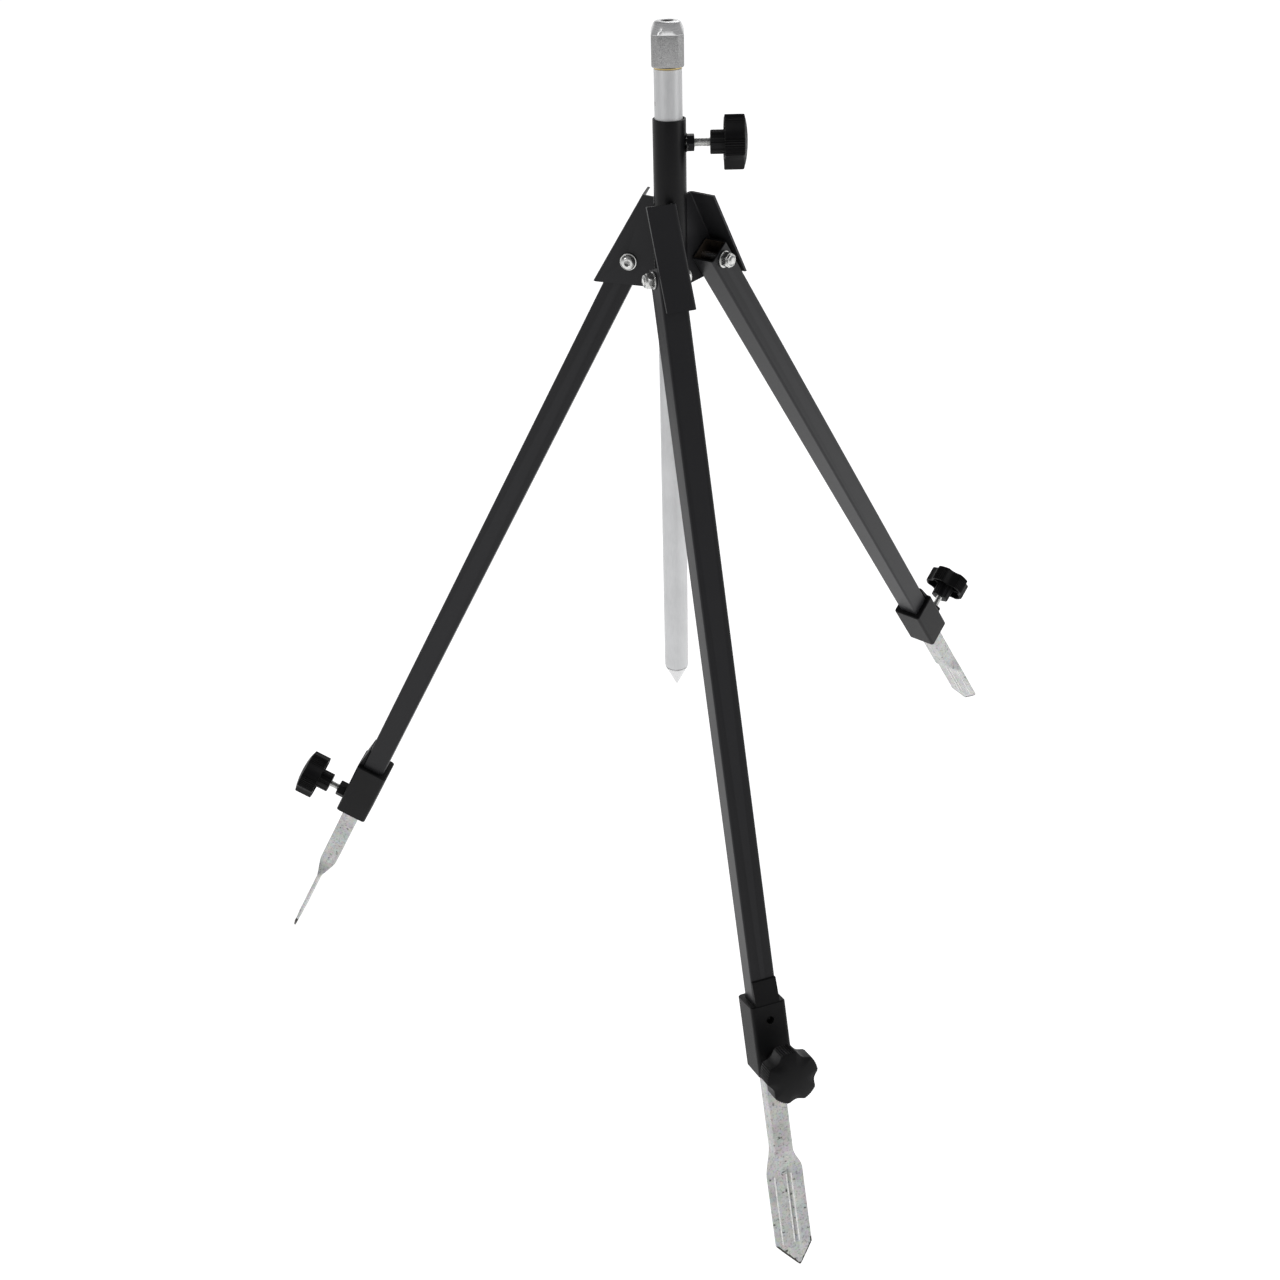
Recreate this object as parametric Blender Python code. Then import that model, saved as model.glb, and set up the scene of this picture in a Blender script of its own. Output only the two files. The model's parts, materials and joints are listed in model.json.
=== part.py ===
"""Surveyor's tripod: a pole with a point and a screw-on coupler, clamped in a sleeve on three folding,
telescoping legs. All driving dimensions are in millimetres.

Head frame: Z runs up the pole's axis, the origin is level with the leg bolts.
Leg frame: the origin is on the leg's bolt, Z runs up the leg, X points outwards and Y runs round the head.
"""
import math

import bmesh
import bpy
from mathutils import Matrix, Vector

MM = 0.001
GAP = 0.3

# how the tripod stands
LEG_NAMES = ("a", "b", "c")
LEG_AZIMUTH = (-69.9, 50.1, 170.1)
LEG_SPLAY = (19.92, 36.74, 27.72)
SCREW_BACKED_OFF = (0.0, 13.3, 9.3)
KNOB_SPIN = (38.0, 30.0, 30.0)
HEAD_KNOB_SPIN = 53.0
STAND_CENTRE = (-57.8, -74.8)

# pole, point and coupler
POLE_R = 12.5
POLE_BORE = 10.5
POLE_TOP = 172.7
POLE_BOTTOM = -438.5
SIGHT_HOLE = (2.6, 144.0, -158.0)
RING_R = 12.9
RING_HEIGHT = 1.2
COUPLER_FLATS = 28.5
COUPLER_CORNERS = 33.6
COUPLER_BOTTOM = 174.5
COUPLER_CONE = 202.0
COUPLER_TOP = 211.2
COUPLER_SEAT_R = 10.4
COUPLER_BORE = 5.2
SPIGOT_R = 10.2
POINT_TIP = -462.7

# sleeve and its clamp
SLEEVE_R = 15.0
SLEEVE_BORE = 13.3
SLEEVE_OFFSET = 0.5
SLEEVE_TOP = 130.5
SLEEVE_BOTTOM = -51.5
CLAMP_Z = 109.2
NUT_FLATS = 13.6
NUT_THICKNESS = 6.8
HEAD_SCREW = 23.9
HEAD_HUB_X = 36.7

# brackets
SHEET = 2.5
GUSSET_Y = -2.5
WEB_WIDTH = 29.0
WEB_TOP = (26.1, 62.1)
WEB_FOOT = (75.4, -20.0)
BRACKET_ROOT = 15.4
ROOT_TOP = 60.3
ROOT_FOOT = -24.0
BEND_R = 3.6

# leg bolts
BOLT_RADIUS = 40.3
LEG_OFFSET = -18.0
BOLT_R = 3.95
HOLE_R = 4.3
WASHER_R = 8.0
WASHER = 1.6

# legs and collars
LEG = 25.4
LEG_WALL = 1.5
LEG_TOP = 10.0
LEG_END = -775.5
COLLAR = 37.0
COLLAR_TOP = -706.0
COLLAR_END = -782.5
RIVET_Z = -723.0
SCREW_Z = -765.0
BOSS_FLATS = 16.5
BOSS_FACE = 28.5
LEG_SCREW = 19.4
LEG_HUB_X = 29.7

# feet
FOOT = 20.0
FOOT_TOP = -330.0
FOOT_SHOULDER = -868.0
FOOT_FLAT = -913.0
BLADE_CORNER = (-981.0, -987.0)
BLADE_TIP = -1008.5
BLADE_HALF = 20.0
BLADE_FACES = (-0.4, 3.2)

# knobs
KNOB_R = 24.0
KNOB_SCALLOP = 3.2
LEG_KNOB_SIZE = 1.12
KNOB_HUB_R = 10.4
KNOB_HUB = 12.3
KNOB_RIM = 18.0
KNOB_DOME = 3.0
KNOB_POCKET = 12.0
KNOB_LOBES = 5
THREAD_R = 3.95


def clear_scene():
    for old in list(bpy.data.objects):
        bpy.data.objects.remove(old, do_unlink=True)


def material(name, colour, roughness, metallic):
    made = bpy.data.materials.new(name)
    made.use_nodes = True
    shader = made.node_tree.nodes["Principled BSDF"]
    shader.inputs["Base Color"].default_value = (*colour, 1.0)
    shader.inputs["Roughness"].default_value = roughness
    shader.inputs["Metallic"].default_value = metallic
    return made


def frame(name, parent, location=(0, 0, 0), turn=None):
    """An empty that carries the pieces placed in its own axes."""
    made = bpy.data.objects.new(name, None)
    bpy.context.scene.collection.objects.link(made)
    made.parent = parent
    made.matrix_local = Matrix.Translation(Vector(location) * MM) @ (turn or Matrix())
    return made


def put(name, bm, parent, look=None, location=(0, 0, 0), turn=None, smooth=True):
    """Closes the mesh's normals outwards and places it as an object under parent."""
    bmesh.ops.remove_doubles(bm, verts=bm.verts, dist=1e-7)
    bmesh.ops.recalc_face_normals(bm, faces=bm.faces)
    bmesh.ops.scale(bm, vec=(MM, MM, MM), verts=bm.verts)
    mesh = bpy.data.meshes.new(name)
    bm.to_mesh(mesh)
    bm.free()
    if smooth:
        mesh.shade_smooth()
        mesh.set_sharp_from_angle(angle=math.radians(35))
    if look:
        mesh.materials.append(look)
    made = bpy.data.objects.new(name, mesh)
    bpy.context.scene.collection.objects.link(made)
    made.parent = parent
    made.matrix_local = Matrix.Translation(Vector(location) * MM) @ (turn or Matrix())
    return made


def change(target, operation, name, bm, parent, location=(0, 0, 0), turn=None):
    """Cuts or joins a helper shape, which stays out of the model itself."""
    helper = put(name, bm, parent, None, location, turn, smooth=False)
    helper.hide_render = True
    helper.display_type = "WIRE"
    boolean = target.modifiers.new(name, "BOOLEAN")
    boolean.operation = operation
    boolean.solver = "EXACT"
    boolean.object = helper


def loft(loops, ring=False):
    """Skins closed loops with the same number of points; a loop of one point is a tip."""
    bm = bmesh.new()
    rows = [[bm.verts.new(point) for point in loop] for loop in loops]
    pairs = list(zip(rows, rows[1:]))
    if ring:
        pairs.append((rows[-1], rows[0]))
    for low, high in pairs:
        count = max(len(low), len(high))
        for i in range(count):
            j = (i + 1) % count
            corners = [low[i % len(low)], low[j % len(low)], high[j % len(high)], high[i % len(high)]]
            corners = list(dict.fromkeys(corners))
            bm.faces.new(corners)
    if not ring:
        for end in (rows[0], rows[-1]):
            if len(end) > 1:
                bm.faces.new(end)
    return bm


def circle(radius, z, count=40, offset=0.0):
    if radius <= 0:
        return [(offset, 0.0, z)]
    steps = [2 * math.pi * i / count for i in range(count)]
    return [(offset + radius * math.cos(a), radius * math.sin(a), z) for a in steps]


def turned(profile, count=40, ring=False, offset=0.0):
    """A body of revolution about Z from (radius, z) pairs."""
    return loft([circle(r, z, count, offset) for r, z in profile], ring)


def polygon_loop(flats, sides, z, count):
    """A regular polygon's outline, as wide as flats, with count points at equal angles."""
    points = []
    for i in range(count):
        a = 2 * math.pi * i / count
        sector = (a + math.pi / sides) % (2 * math.pi / sides) - math.pi / sides
        r = flats / 2 / math.cos(sector)
        points.append((r * math.cos(a), r * math.sin(a), z))
    return points


def rounded_box_loop(x_low, x_high, y_low, y_high, radius, z, steps=3):
    """A rectangle with rounded corners."""
    radius = min(radius, (x_high - x_low) * 0.48, (y_high - y_low) * 0.48)
    corners = (
        (x_high - radius, y_high - radius),
        (x_low + radius, y_high - radius),
        (x_low + radius, y_low + radius),
        (x_high - radius, y_low + radius),
    )
    points = []
    for quarter, (cx, cy) in enumerate(corners):
        for i in range(steps + 1):
            a = math.pi / 2 * (quarter + i / steps)
            points.append((cx + radius * math.cos(a), cy + radius * math.sin(a), z))
    return points


def square_loop(half, radius, z):
    return rounded_box_loop(-half, half, -half, half, radius, z)


def square_tube(half, wall, radius, top, bottom, edge=0.4):
    """A hollow square tube, open at both ends."""
    inner = max(radius - wall, 0.5)
    loops = [
        square_loop(half - edge, radius, bottom),
        square_loop(half, radius, bottom + edge),
        square_loop(half, radius, top - edge),
        square_loop(half - edge, radius, top),
        square_loop(half - wall, inner, top),
        square_loop(half - wall, inner, bottom),
    ]
    return loft(loops, ring=True)


def prism(outline, low, high):
    """Extrudes an outline of (x, z) points along Y."""
    return loft([[(x, y, z) for x, z in outline] for y in (low, high)])


def hex_nut(flats, height, bore, chamfer=0.8):
    """A hexagonal nut on Z with its two faces chamfered."""
    tip = flats / math.sqrt(3)
    count = 24
    loops = []
    for z, cut in ((0, chamfer), (chamfer * 0.6, 0), (height - chamfer * 0.6, 0), (height, chamfer)):
        outline = polygon_loop(flats, 6, z, count)
        limit = tip - cut
        loops.append(
            [Vector((x, y, 0)) * min(1.0, limit / math.hypot(x, y)) + Vector((0, 0, z)) for x, y, z in outline]
        )
    loops += [circle(bore, height, count), circle(bore, 0, count)]
    return loft(loops, ring=True)


def lock_nut():
    """A hexagonal nut with the round collar that holds its locking insert."""
    count = 24
    loops = [
        circle(HOLE_R, 0, count),
        polygon_loop(12.6, 6, 0, count),
        polygon_loop(13.0, 6, 0.6, count),
        polygon_loop(13.0, 6, 5.2, count),
        circle(6.2, 5.7, count),
        circle(5.6, 7.8, count),
        circle(HOLE_R, 7.8, count),
    ]
    return loft(loops, ring=True)


def button_bolt(length):
    """A domed bolt with a hexagonal socket; Z points out of the head, its seat is at Z 0."""
    count = 24
    loops = [
        [(0.0, 0.0, 1.6)],
        polygon_loop(5.0, 6, 1.6, count),
        polygon_loop(5.0, 6, 4.3, count),
        circle(3.4, 4.4, count),
        circle(5.4, 3.5, count),
        circle(6.6, 1.9, count),
        circle(7.0, 0, count),
        circle(BOLT_R, 0, count),
        circle(BOLT_R, 0.6 - length, count),
        circle(BOLT_R - 0.6, -length, count),
    ]
    return loft(loops)


def washer(inner, outer, thickness):
    return turned([(inner, 0), (outer, 0), (outer, thickness), (inner, thickness)], 32, True)


def lobed_loop(radius, depth, z, count=40):
    """The knob's outline: five round-ended lobes with a hollow scallop between each pair."""
    points = []
    pitch = 2 * math.pi / KNOB_LOBES
    for i in range(count):
        a = 2 * math.pi * i / count
        across = abs((a + pitch / 2) % pitch - pitch / 2) / (pitch / 2)
        dip = math.sin(math.pi / 2 * max(0.0, across * 2 - 1))
        r = radius - depth * dip
        points.append((r * math.cos(a), r * math.sin(a), z))
    return points


def knob(size=1.0):
    """A five-lobed knob on Z: its hub faces down at Z 0, its rim is hollow underneath."""
    count = 40
    rim, hub = KNOB_HUB * size, KNOB_HUB_R * size
    pocket, top = rim + KNOB_POCKET * size, rim + KNOB_RIM * size
    wide, dome, depth = KNOB_R * size, KNOB_DOME * size, KNOB_SCALLOP * size
    loops = [
        [(0.0, 0.0, 15.0)],
        circle(HOLE_R, 15.0, count),
        circle(HOLE_R, 0, count),
        circle(hub, 0, count),
        circle(hub, pocket, count),
        lobed_loop(wide - 3.2, depth, pocket, count),
        lobed_loop(wide - 3.2, depth, rim, count),
        lobed_loop(wide, depth, rim, count),
        lobed_loop(wide, depth, top - 0.8, count),
        lobed_loop(wide - 0.9, depth, top, count),
        lobed_loop(wide * 0.66, depth * 0.3, top + dome * 0.62, count),
        circle(wide * 0.3, top + dome * 0.93, count),
        [(0.0, 0.0, top + dome)],
    ]
    return loft(loops)


def clamp_screw(length):
    """A threaded stud on Z, from inside the knob's hub down to its pressing tip."""
    profile = [(0, 14.4), (THREAD_R, 14.4), (THREAD_R, 0.8 - length), (THREAD_R - 0.8, -length), (0, -length)]
    return turned(profile, 24)


def cross_hole(radius, length):
    return turned([(radius, -length / 2), (radius, length / 2)], 24)


def bracket():
    """An angle of folded sheet: a gusset standing radially on the sleeve and a web over the leg."""
    top, foot = Vector((WEB_TOP[0], 0, WEB_TOP[1])), Vector((WEB_FOOT[0], 0, WEB_FOOT[1]))
    along = (foot - top).normalized()
    out = Vector((-along.z, 0, along.x))
    inner_y = GUSSET_Y - SHEET
    far_y = GUSSET_Y - WEB_WIDTH
    deep = 90.0
    section = [(-deep, GUSSET_Y)]
    for i in range(7):
        a = math.pi / 2 * (1 - i / 6)
        section.append((-BEND_R + BEND_R * math.cos(a), GUSSET_Y - BEND_R + BEND_R * math.sin(a)))
    section += [(0, far_y), (-SHEET, far_y)]
    inner_r = BEND_R - SHEET
    for i in range(5):
        a = math.pi / 2 * i / 4
        section.append((-BEND_R + inner_r * math.cos(a), GUSSET_Y - BEND_R + inner_r * math.sin(a)))
    section.append((-deep, inner_y))
    ends = []
    for reach in (-60.0, (foot - top).length + 60.0):
        base = top + along * reach
        ends.append([base + out * x + Vector((0, y, 0)) for x, y in section])
    bm = loft(ends)
    root_top = Vector((BRACKET_ROOT, 0, ROOT_TOP))
    root_foot = Vector((BRACKET_ROOT, 0, ROOT_FOOT))
    cuts = (
        (top, Vector((ROOT_TOP - top.z, 0, top.x - BRACKET_ROOT))),
        (foot, Vector((foot.z - ROOT_FOOT, 0, BRACKET_ROOT - foot.x))),
        ((root_top + root_foot) / 2, Vector((-1, 0, 0))),
    )
    for point, normal in cuts:
        geometry = bm.verts[:] + bm.edges[:] + bm.faces[:]
        cut = bmesh.ops.bisect_plane(
            bm, geom=geometry, plane_co=point, plane_no=normal.normalized(), clear_outer=True
        )
        edges = [item for item in cut["geom_cut"] if isinstance(item, bmesh.types.BMEdge)]
        bmesh.ops.contextual_create(bm, geom=edges)
    return bm


def foot_section(share, z):
    """The foot tube's outline, from square at share 0 to pressed flat and twice as wide at share 1."""
    ease = share * share * (3 - 2 * share)
    half = FOOT / 2
    low = -half + (BLADE_FACES[0] + half) * ease
    high = half + (BLADE_FACES[1] - half) * ease
    side = half + (BLADE_HALF - half) * ease
    return low, high, side, z


def foot_tip():
    low, high = BLADE_FACES
    return rounded_box_loop(low + 0.8, high - 0.8, 2.6, 5.4, 0.6, BLADE_TIP)


def foot():
    """The sliding foot, in the leg's frame: a square tube whose end is pressed into a pointed blade."""
    radius = 1.8
    loops = []
    for low, high, side, z in (foot_section(0, FOOT_TOP), foot_section(0, FOOT_SHOULDER)):
        loops.append(rounded_box_loop(low, high, -side, side, radius, z))
    steps = 8
    for i in range(1, steps + 1):
        z = FOOT_SHOULDER + (FOOT_FLAT - FOOT_SHOULDER) * i / steps
        low, high, side, z = foot_section(i / steps, z)
        loops.append(rounded_box_loop(low, high, -side, side, radius, z))
    low, high = BLADE_FACES
    corner_left, corner_right = BLADE_CORNER
    loops.append(rounded_box_loop(low, high, -BLADE_HALF, BLADE_HALF, radius, corner_left))
    loops.append(rounded_box_loop(low, high, -BLADE_HALF * 0.755, BLADE_HALF, radius, corner_right))
    loops.append(foot_tip())
    outside = loft(loops)
    inside = []
    wall = 1.5
    for share, z in ((0.35, None), (0.2, None), (0.0, FOOT_SHOULDER), (0.0, FOOT_TOP + 5.0)):
        depth = z if z is not None else FOOT_SHOULDER + (FOOT_FLAT - FOOT_SHOULDER) * share
        low, high, side, depth = foot_section(share, depth)
        inside.append(rounded_box_loop(low + wall, high - wall, wall - side, side - wall, 0.6, depth))
    return outside, loft(inside)


def stand_frame():
    """Turns and lifts the head frame so that the lowest point of each foot is on the ground."""
    tips = [[leg_matrix(number) @ Vector(point) for point in foot_tip()] for number in range(3)]
    lowest = [tip[0] for tip in tips]
    for _ in range(3):
        a, b, c = lowest
        normal = (b - a).cross(c - a).normalized()
        lowest = [min(tip, key=normal.dot) for tip in tips]
    turn = normal.rotation_difference(Vector((0, 0, 1))).to_matrix().to_4x4()
    lift = -(turn @ lowest[0]).z
    return turn, (-STAND_CENTRE[0], -STAND_CENTRE[1], lift)


def leg_matrix(number):
    azimuth, splay = math.radians(LEG_AZIMUTH[number]), math.radians(LEG_SPLAY[number])
    place = Matrix.Translation((BOLT_RADIUS, LEG_OFFSET, 0))
    return Matrix.Rotation(azimuth, 4, "Z") @ place @ Matrix.Rotation(-splay, 4, "Y")


def build_head(head, looks):
    profile = [
        (SLEEVE_R - 0.3, SLEEVE_BOTTOM),
        (SLEEVE_R, SLEEVE_BOTTOM + 0.3),
        (SLEEVE_R, SLEEVE_TOP - 0.3),
        (SLEEVE_R - 0.3, SLEEVE_TOP),
        (SLEEVE_BORE, SLEEVE_TOP),
        (SLEEVE_BORE, SLEEVE_BOTTOM),
    ]
    sleeve = put("head_sleeve", turned(profile, 40, True), head, looks["black"], (SLEEVE_OFFSET, 0, 0))
    across = Matrix.Rotation(math.radians(90), 4, "Y")
    side = (SLEEVE_OFFSET + SLEEVE_R, 0, CLAMP_Z)
    change(sleeve, "DIFFERENCE", "sleeve_hole", cross_hole(HOLE_R, 8), head, side, across)
    nut = hex_nut(NUT_FLATS, NUT_THICKNESS, HOLE_R)
    nut_x = SLEEVE_OFFSET + SLEEVE_R + GAP
    put("head_clamp_nut", nut, head, looks["black"], (nut_x, 0, CLAMP_Z), across)
    hub = (HEAD_HUB_X, 0, CLAMP_Z)
    put("head_clamp_screw", clamp_screw(HEAD_SCREW), head, looks["zinc"], hub, across)
    spin = Matrix.Rotation(math.radians(HEAD_KNOB_SPIN), 4, "Z")
    put("head_clamp_knob", knob(), head, looks["plastic"], hub, across @ spin)


def build_pole(head, looks):
    edge = 0.5
    profile = [
        (POLE_R - edge, POLE_TOP),
        (POLE_R, POLE_TOP - edge),
        (POLE_R, POLE_BOTTOM + 1.2),
        (POLE_R - 1.0, POLE_BOTTOM),
        (POLE_BORE, POLE_BOTTOM),
        (POLE_BORE, POLE_TOP),
    ]
    pole = put("pole_tube", turned(profile, 40, True), head, looks["satin"])
    bore, height, azimuth = SIGHT_HOLE
    angle = math.radians(azimuth)
    place = (POLE_R * math.cos(angle), POLE_R * math.sin(angle), height)
    turn = Matrix.Rotation(angle, 4, "Z") @ Matrix.Rotation(math.radians(90), 4, "Y")
    change(pole, "DIFFERENCE", "pole_sight_hole", cross_hole(bore / 2, 7), head, place, turn)

    base = POLE_BOTTOM - GAP
    profile = [
        (0, POLE_BOTTOM + 24),
        (SPIGOT_R - 0.6, POLE_BOTTOM + 24),
        (SPIGOT_R, POLE_BOTTOM + 23),
        (SPIGOT_R, base),
        (POLE_R - 1.5, base),
        (POLE_R - 0.7, base - 1.0),
        (0.8, POINT_TIP + 0.4),
        (0, POINT_TIP),
    ]
    put("pole_point", turned(profile, 40), head, looks["zinc"])

    ring = washer(SPIGOT_R + 0.4, RING_R, RING_HEIGHT)
    put("pole_ring", ring, head, looks["brass"], (0, 0, POLE_TOP + GAP))

    count = 48
    flat, corner = COUPLER_FLATS / 2, COUPLER_CORNERS / 2

    def body(z, shrink=0.0):
        outline = polygon_loop(COUPLER_FLATS, 4, z, count)
        return [Vector((x, y, 0)) * min(1.0, corner / math.hypot(x, y)) * (1 - shrink / flat)
                + Vector((0, 0, z)) for x, y, z in outline]

    loops = [
        [(0.0, 0.0, COUPLER_TOP - 26)],
        circle(COUPLER_BORE, COUPLER_TOP - 26, count),
        circle(COUPLER_BORE, COUPLER_TOP - 0.6, count),
        circle(COUPLER_BORE + 0.6, COUPLER_TOP, count),
        circle(COUPLER_SEAT_R, COUPLER_TOP, count),
        circle(flat - 0.15, COUPLER_CONE, count),
        body(COUPLER_CONE - 0.4, 0.1),
        body(COUPLER_CONE - 1.2),
        body(COUPLER_BOTTOM + 1.4),
        body(COUPLER_BOTTOM, 1.2),
        circle(SPIGOT_R, COUPLER_BOTTOM, count),
        circle(SPIGOT_R, COUPLER_BOTTOM - 24, count),
        circle(SPIGOT_R - 0.8, COUPLER_BOTTOM - 25, count),
    ]
    put("pole_coupler", loft(loops), head, looks["zinc"])


def build_bracket(number, head, looks):
    name = LEG_NAMES[number]
    turn = Matrix.Rotation(math.radians(LEG_AZIMUTH[number]), 4, "Z")
    side = frame("bracket_frame_" + name, head, turn=turn)
    sheet = put("bracket_" + name, bracket(), side, looks["black"])
    lay = Matrix.Rotation(math.radians(-90), 4, "X")
    out = Matrix.Rotation(math.radians(90), 4, "X")
    change(sheet, "DIFFERENCE", "bracket_hole_" + name, cross_hole(HOLE_R, 12), side,
           (BOLT_RADIUS, GUSSET_Y - SHEET / 2, 0), lay)
    seat = GUSSET_Y + GAP
    tube = LEG_OFFSET - LEG / 2 - GAP
    put("head_washer_" + name, washer(HOLE_R, WASHER_R, WASHER), side, looks["zinc"],
        (BOLT_RADIUS, seat, 0), lay)
    head_y = seat + WASHER + GAP
    nut_y = tube - WASHER - GAP
    bolt = button_bolt(head_y - nut_y + 8.8)
    put("pivot_bolt_" + name, bolt, side, looks["zinc"], (BOLT_RADIUS, head_y, 0), lay)
    put("nut_washer_" + name, washer(HOLE_R, WASHER_R, WASHER), side, looks["zinc"],
        (BOLT_RADIUS, tube, 0), out)
    put("lock_nut_" + name, lock_nut(), side, looks["zinc"], (BOLT_RADIUS, nut_y, 0), out)


def build_leg(number, head, looks):
    name = LEG_NAMES[number]
    place = leg_matrix(number)
    spot = place.to_translation()
    leg = frame("leg_frame_" + name, head, spot, place.to_3x3().to_4x4())
    outwards = Matrix.Rotation(math.radians(90), 4, "Y")
    sideways = Matrix.Rotation(math.radians(90), 4, "X")
    half = LEG / 2

    tube = put("leg_tube_" + name, square_tube(half, LEG_WALL, 2.2, LEG_TOP, LEG_END), leg, looks["black"])
    change(tube, "DIFFERENCE", "bolt_hole_" + name, cross_hole(HOLE_R, LEG + 10), leg, (0, 0, 0), sideways)
    change(tube, "DIFFERENCE", "screw_hole_" + name, cross_hole(HOLE_R, 6), leg, (half, 0, SCREW_Z), outwards)
    change(tube, "DIFFERENCE", "rivet_hole_" + name, cross_hole(2.3, 6), leg, (half, 0, RIVET_Z), outwards)

    side, bore, guide = COLLAR / 2, half + GAP, FOOT / 2 + 0.4
    loops = [
        square_loop(side - 1.0, 2.6, COLLAR_END),
        square_loop(side, 3.2, COLLAR_END + 1.0),
        square_loop(side, 3.2, COLLAR_TOP - 1.0),
        square_loop(side - 1.0, 2.6, COLLAR_TOP),
        square_loop(bore, 2.3, COLLAR_TOP),
        square_loop(bore, 2.3, LEG_END - GAP),
        square_loop(guide, 1.9, LEG_END - GAP),
        square_loop(guide, 1.9, COLLAR_END),
    ]
    collar = put("collar_" + name, loft(loops, ring=True), leg, looks["plastic"])
    ramp = [(bore + 0.05, -716), (side - 0.4, -716), (side - 0.4, -709), (bore + 1.4, -682), (bore + 0.05, -681)]
    change(collar, "UNION", "collar_ramp_" + name, prism(ramp, -half, half), leg)
    change(collar, "DIFFERENCE", "collar_screw_hole_" + name, cross_hole(HOLE_R, 12), leg,
           (side - 2, 0, SCREW_Z), outwards)
    change(collar, "DIFFERENCE", "collar_rivet_hole_" + name, cross_hole(4.0, 12), leg,
           (side - 2, 0, RIVET_Z), outwards)
    head_profile = [(0, -2.2), (1.95, -2.2), (1.95, 0), (3.6, 0), (3.4, 1.2), (2.0, 2.0), (0, 2.2)]
    put("collar_rivet_" + name, turned(head_profile, 20), leg, looks["zinc"], (half + GAP, 0, RIVET_Z), outwards)
    nut = hex_nut(BOSS_FLATS, BOSS_FACE - side - GAP, HOLE_R, 1.2)
    put("collar_nut_" + name, nut, leg, looks["black"], (side + GAP, 0, SCREW_Z), outwards)
    hub = (LEG_HUB_X + SCREW_BACKED_OFF[number], 0, SCREW_Z)
    put("leg_screw_" + name, clamp_screw(LEG_SCREW), leg, looks["zinc"], hub, outwards)
    spin = Matrix.Rotation(math.radians(KNOB_SPIN[number]), 4, "Z")
    put("leg_knob_" + name, knob(LEG_KNOB_SIZE), leg, looks["plastic"], hub, outwards @ spin)

    outside, hollow = foot()
    slider = put("foot_" + name, outside, leg, looks["zinc"])
    change(slider, "DIFFERENCE", "foot_bore_" + name, hollow, leg)


def settle_facets():
    """Splits the flat faces round the cuts while each piece is in its own axes, where they are exact."""
    for made in bpy.data.objects:
        if made.modifiers:
            made.modifiers.new("facets", "TRIANGULATE")


def build():
    clear_scene()
    looks = {
        "black": material("black_powder_coat", (0.025, 0.026, 0.028), 0.42, 0.0),
        "plastic": material("black_plastic", (0.03, 0.03, 0.031), 0.55, 0.0),
        "zinc": material("zinc_plate", (0.72, 0.73, 0.72), 0.35, 1.0),
        "satin": material("satin_tube", (0.66, 0.67, 0.68), 0.45, 0.6),
        "brass": material("brass", (0.70, 0.55, 0.22), 0.35, 1.0),
    }
    turn, lift = stand_frame()
    head = frame("head_frame", None, lift, turn)
    build_head(head, looks)
    build_pole(head, looks)
    for number in range(3):
        build_bracket(number, head, looks)
        build_leg(number, head, looks)
    settle_facets()


build()
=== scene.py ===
"""Looks of the surveyor's tripod. Sizes are in millimetres in the head's and the legs' own frames."""
import json
import math

import bmesh
import bpy
from mathutils import Matrix, Vector


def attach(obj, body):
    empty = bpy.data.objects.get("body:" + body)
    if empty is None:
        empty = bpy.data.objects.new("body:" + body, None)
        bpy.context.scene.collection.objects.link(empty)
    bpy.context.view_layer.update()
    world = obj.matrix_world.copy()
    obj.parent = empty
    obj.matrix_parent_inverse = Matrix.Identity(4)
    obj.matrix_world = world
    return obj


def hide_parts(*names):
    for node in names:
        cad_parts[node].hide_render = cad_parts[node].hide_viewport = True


MM = 0.001

CLAMP_Z = 109.2                # head clamp's axis, above the pivot bolts
HEAD_KNOB_X = 36.7             # face of the head knob's hub
BOLT_X = 40.3                  # pivot bolts, from the sleeve's axis
TUBE_TOP, TUBE_BOTTOM = 172.7, -438.5
AZIMUTH = {"a": -69.9, "b": 50.1, "c": 170.1}            # of the brackets round the pole, degrees
SPIN = {"a": 38.0, "b": 30.0, "c": 30.0, "head": 53.0}   # of each knob on its screw, degrees
KNOB_LOBES = 5

# in a leg's own frame
BACKED_OFF = {"a": 0.0, "b": 13.3, "c": 9.3}             # clamp screws not screwed home
LEG_KNOB_SIZE = 1.12           # against the head knob
LEG_KNOB_X = 29.7              # face of its hub with the screw home
LEG_CLAMP_Z = -765.0
RIVET_Z = -723.0
SHOULDER_Z, SHOULDER = -872.0, 30.0
BLADE_END_Z = -980.4
FOOT_SIDE = 10.0               # half the lower tube's width
BLADE_BACK, BLADE_FRONT, BLADE_SIDE = -0.4, 3.2, 20.0
# pressed lines of the blade: place, width and height; the first three stand proud
RIDGES = ((-12.4, 1.0, 0.8), (0.8, 1.2, 1.0), (6.0, 1.2, 1.0), (3.4, 1.2, -0.9), (-3.6, 2.6, -0.4))

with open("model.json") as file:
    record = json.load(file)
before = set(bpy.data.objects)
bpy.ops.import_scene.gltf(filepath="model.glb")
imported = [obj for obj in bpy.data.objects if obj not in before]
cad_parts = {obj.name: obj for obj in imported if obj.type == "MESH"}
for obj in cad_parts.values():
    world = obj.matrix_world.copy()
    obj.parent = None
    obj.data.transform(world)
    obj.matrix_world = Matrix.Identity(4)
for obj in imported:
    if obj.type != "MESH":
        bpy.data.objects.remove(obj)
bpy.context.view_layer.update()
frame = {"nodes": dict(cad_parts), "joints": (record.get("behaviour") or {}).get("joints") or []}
nodes = frame["nodes"]
joints = {joint["name"]: joint for joint in frame["joints"]}

# ---------------------------------------------------------------- frames of the head and the legs


def axes(origin, x, y, z):
    m = Matrix((x, y, z)).transposed().to_4x4()
    m.translation = origin
    return m


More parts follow.
